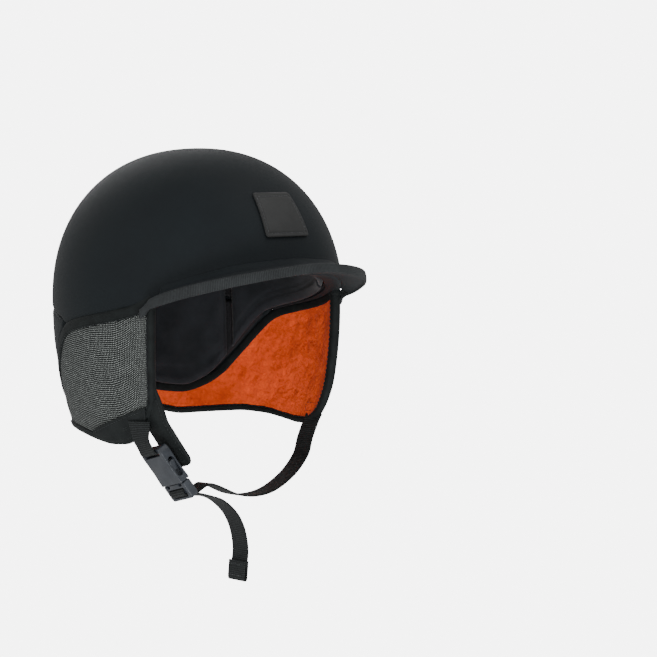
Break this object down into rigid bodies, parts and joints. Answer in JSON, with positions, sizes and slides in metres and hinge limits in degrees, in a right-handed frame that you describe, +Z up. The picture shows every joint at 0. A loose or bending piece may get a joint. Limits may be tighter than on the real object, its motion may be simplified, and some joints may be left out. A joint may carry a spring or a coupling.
{
  "type": "water helmet",
  "caption": "Fabric-covered foam helmet with a short brim, orange-lined mesh ear flaps, a nape skirt with a hook-and-loop adjuster tab, and a webbing chin strap with a side-release buckle.",
  "frame": {"origin": "middle of the head cavity, on the shell's widest level and on its middle plane", "axes": "+Z up through the crown, -Y the way the wearer faces, -X the wearer's right"},
  "size_m": [0.2176, 0.2835, 0.336],
  "materials": {
    "shell_fabric": "matte",
    "foam": "matte",
    "pad_fabric": "matte",
    "brim_tape": "matte",
    "patch_rubber": "satin",
    "binding": "matte",
    "air_mesh": "matte",
    "dark_panel": "matte",
    "fleece": "matte",
    "loop_tape": "matte",
    "tab_rubber": "satin",
    "hook_plastic": "matte",
    "webbing": "matte",
    "buckle_plastic": "satin"
  },
  "bodies": {
    "helmet": {"crown_cover": "shell_fabric", "rear_cover": "shell_fabric", "crown_foam": "foam", "rear_foam": "foam", "crown_pad": "pad_fabric", "front_pad": "pad_fabric", "right_pad": "pad_fabric", "left_pad": "pad_fabric", "rear_pad": "pad_fabric", "brim_core": "shell_fabric", "brim_tape": "brim_tape", "front_patch": "patch_rubber", "shell_edge_tape": "binding", "right_nape_mesh": "air_mesh", "left_nape_mesh": "air_mesh", "nape_panel": "dark_panel", "nape_lining": "fleece", "nape_hem": "binding", "loop_base": "loop_tape", "adjuster_strap": "tab_rubber"},
    "adjuster_tab": {"adjuster_tab": "tab_rubber", "hook_pad": "hook_plastic"},
    "right_ear_flap": {"right_flap_mesh": "air_mesh", "right_flap_lining": "fleece", "right_flap_tape": "binding", "right_anchor_patch": "dark_panel", "chin_tab": "dark_panel", "right_strap_root": "webbing"},
    "left_ear_flap": {"left_flap_mesh": "air_mesh", "left_flap_lining": "fleece", "left_flap_tape": "binding", "left_strap_root": "webbing"},
    "right_chin_strap": {"right_webbing": "webbing", "buckle_socket": "buckle_plastic"},
    "buckle_plug": {"buckle_plug": "buckle_plastic", "lock_webbing": "webbing"},
    "front_prong": {"front_prong": "buckle_plastic"},
    "rear_prong": {"rear_prong": "buckle_plastic"},
    "left_chin_strap": {"left_webbing": "webbing", "upper_tail": "webbing"},
    "strap_tail": {"strap_tail": "webbing", "tail_fold": "webbing"}
  },
  "joints": [
    {"name": "right_flap_flex", "type": "hinge", "parent": "helmet", "child": "right_ear_flap", "pos_m": [-0.105, 0, -0.005], "axis": [0, 1, 0], "range_deg": [0, 20], "stiffness_Nm_per_rad": 0.3},
    {"name": "left_flap_flex", "type": "hinge", "parent": "helmet", "child": "left_ear_flap", "pos_m": [0.105, 0, -0.005], "axis": [0, -1, 0], "range_deg": [0, 20], "stiffness_Nm_per_rad": 0.3},
    {"name": "right_strap_swing", "type": "hinge", "parent": "right_ear_flap", "child": "right_chin_strap", "pos_m": [-0.0928, -0.0506, -0.098], "axis": [0.0735, 0.9737, -0.2155], "range_deg": [0, 45]},
    {"name": "buckle_release", "type": "slide", "parent": "right_chin_strap", "child": "buckle_plug", "axis": [0.4803, -0.2239, -0.848], "range_m": [0, 0.018]},
    {"name": "front_prong_squeeze", "type": "hinge", "parent": "buckle_plug", "child": "front_prong", "pos_m": [-0.07136, -0.07114, -0.13006], "axis": [-0.874, -0.0412, -0.4841], "range_deg": [0, 12]},
    {"name": "rear_prong_squeeze", "type": "hinge", "parent": "buckle_plug", "child": "rear_prong", "pos_m": [-0.07009, -0.05439, -0.13377], "axis": [0.874, 0.0412, 0.4841], "range_deg": [0, 12]},
    {"name": "left_strap_swing", "type": "hinge", "parent": "left_ear_flap", "child": "left_chin_strap", "pos_m": [0.0812, -0.03, -0.105], "axis": [0, -1, 0], "range_deg": [0, 60]},
    {"name": "tail_swing", "type": "hinge", "parent": "left_chin_strap", "child": "strap_tail", "pos_m": [-0.0152, -0.062, -0.172], "axis": [0, 1, 0], "range_deg": [-30, 30]},
    {"name": "tab_peel", "type": "hinge", "parent": "helmet", "child": "adjuster_tab", "pos_m": [0.03104, 0.11605, -0.083], "axis": [0.0652, 0.2436, 0.9677], "range_deg": [0, 60]}
  ],
  "couplings": [
    {"joint": "front_prong_squeeze", "follows": "buckle_release", "rad_per_m": 11.6},
    {"joint": "rear_prong_squeeze", "follows": "buckle_release", "rad_per_m": 11.6}
  ]
}
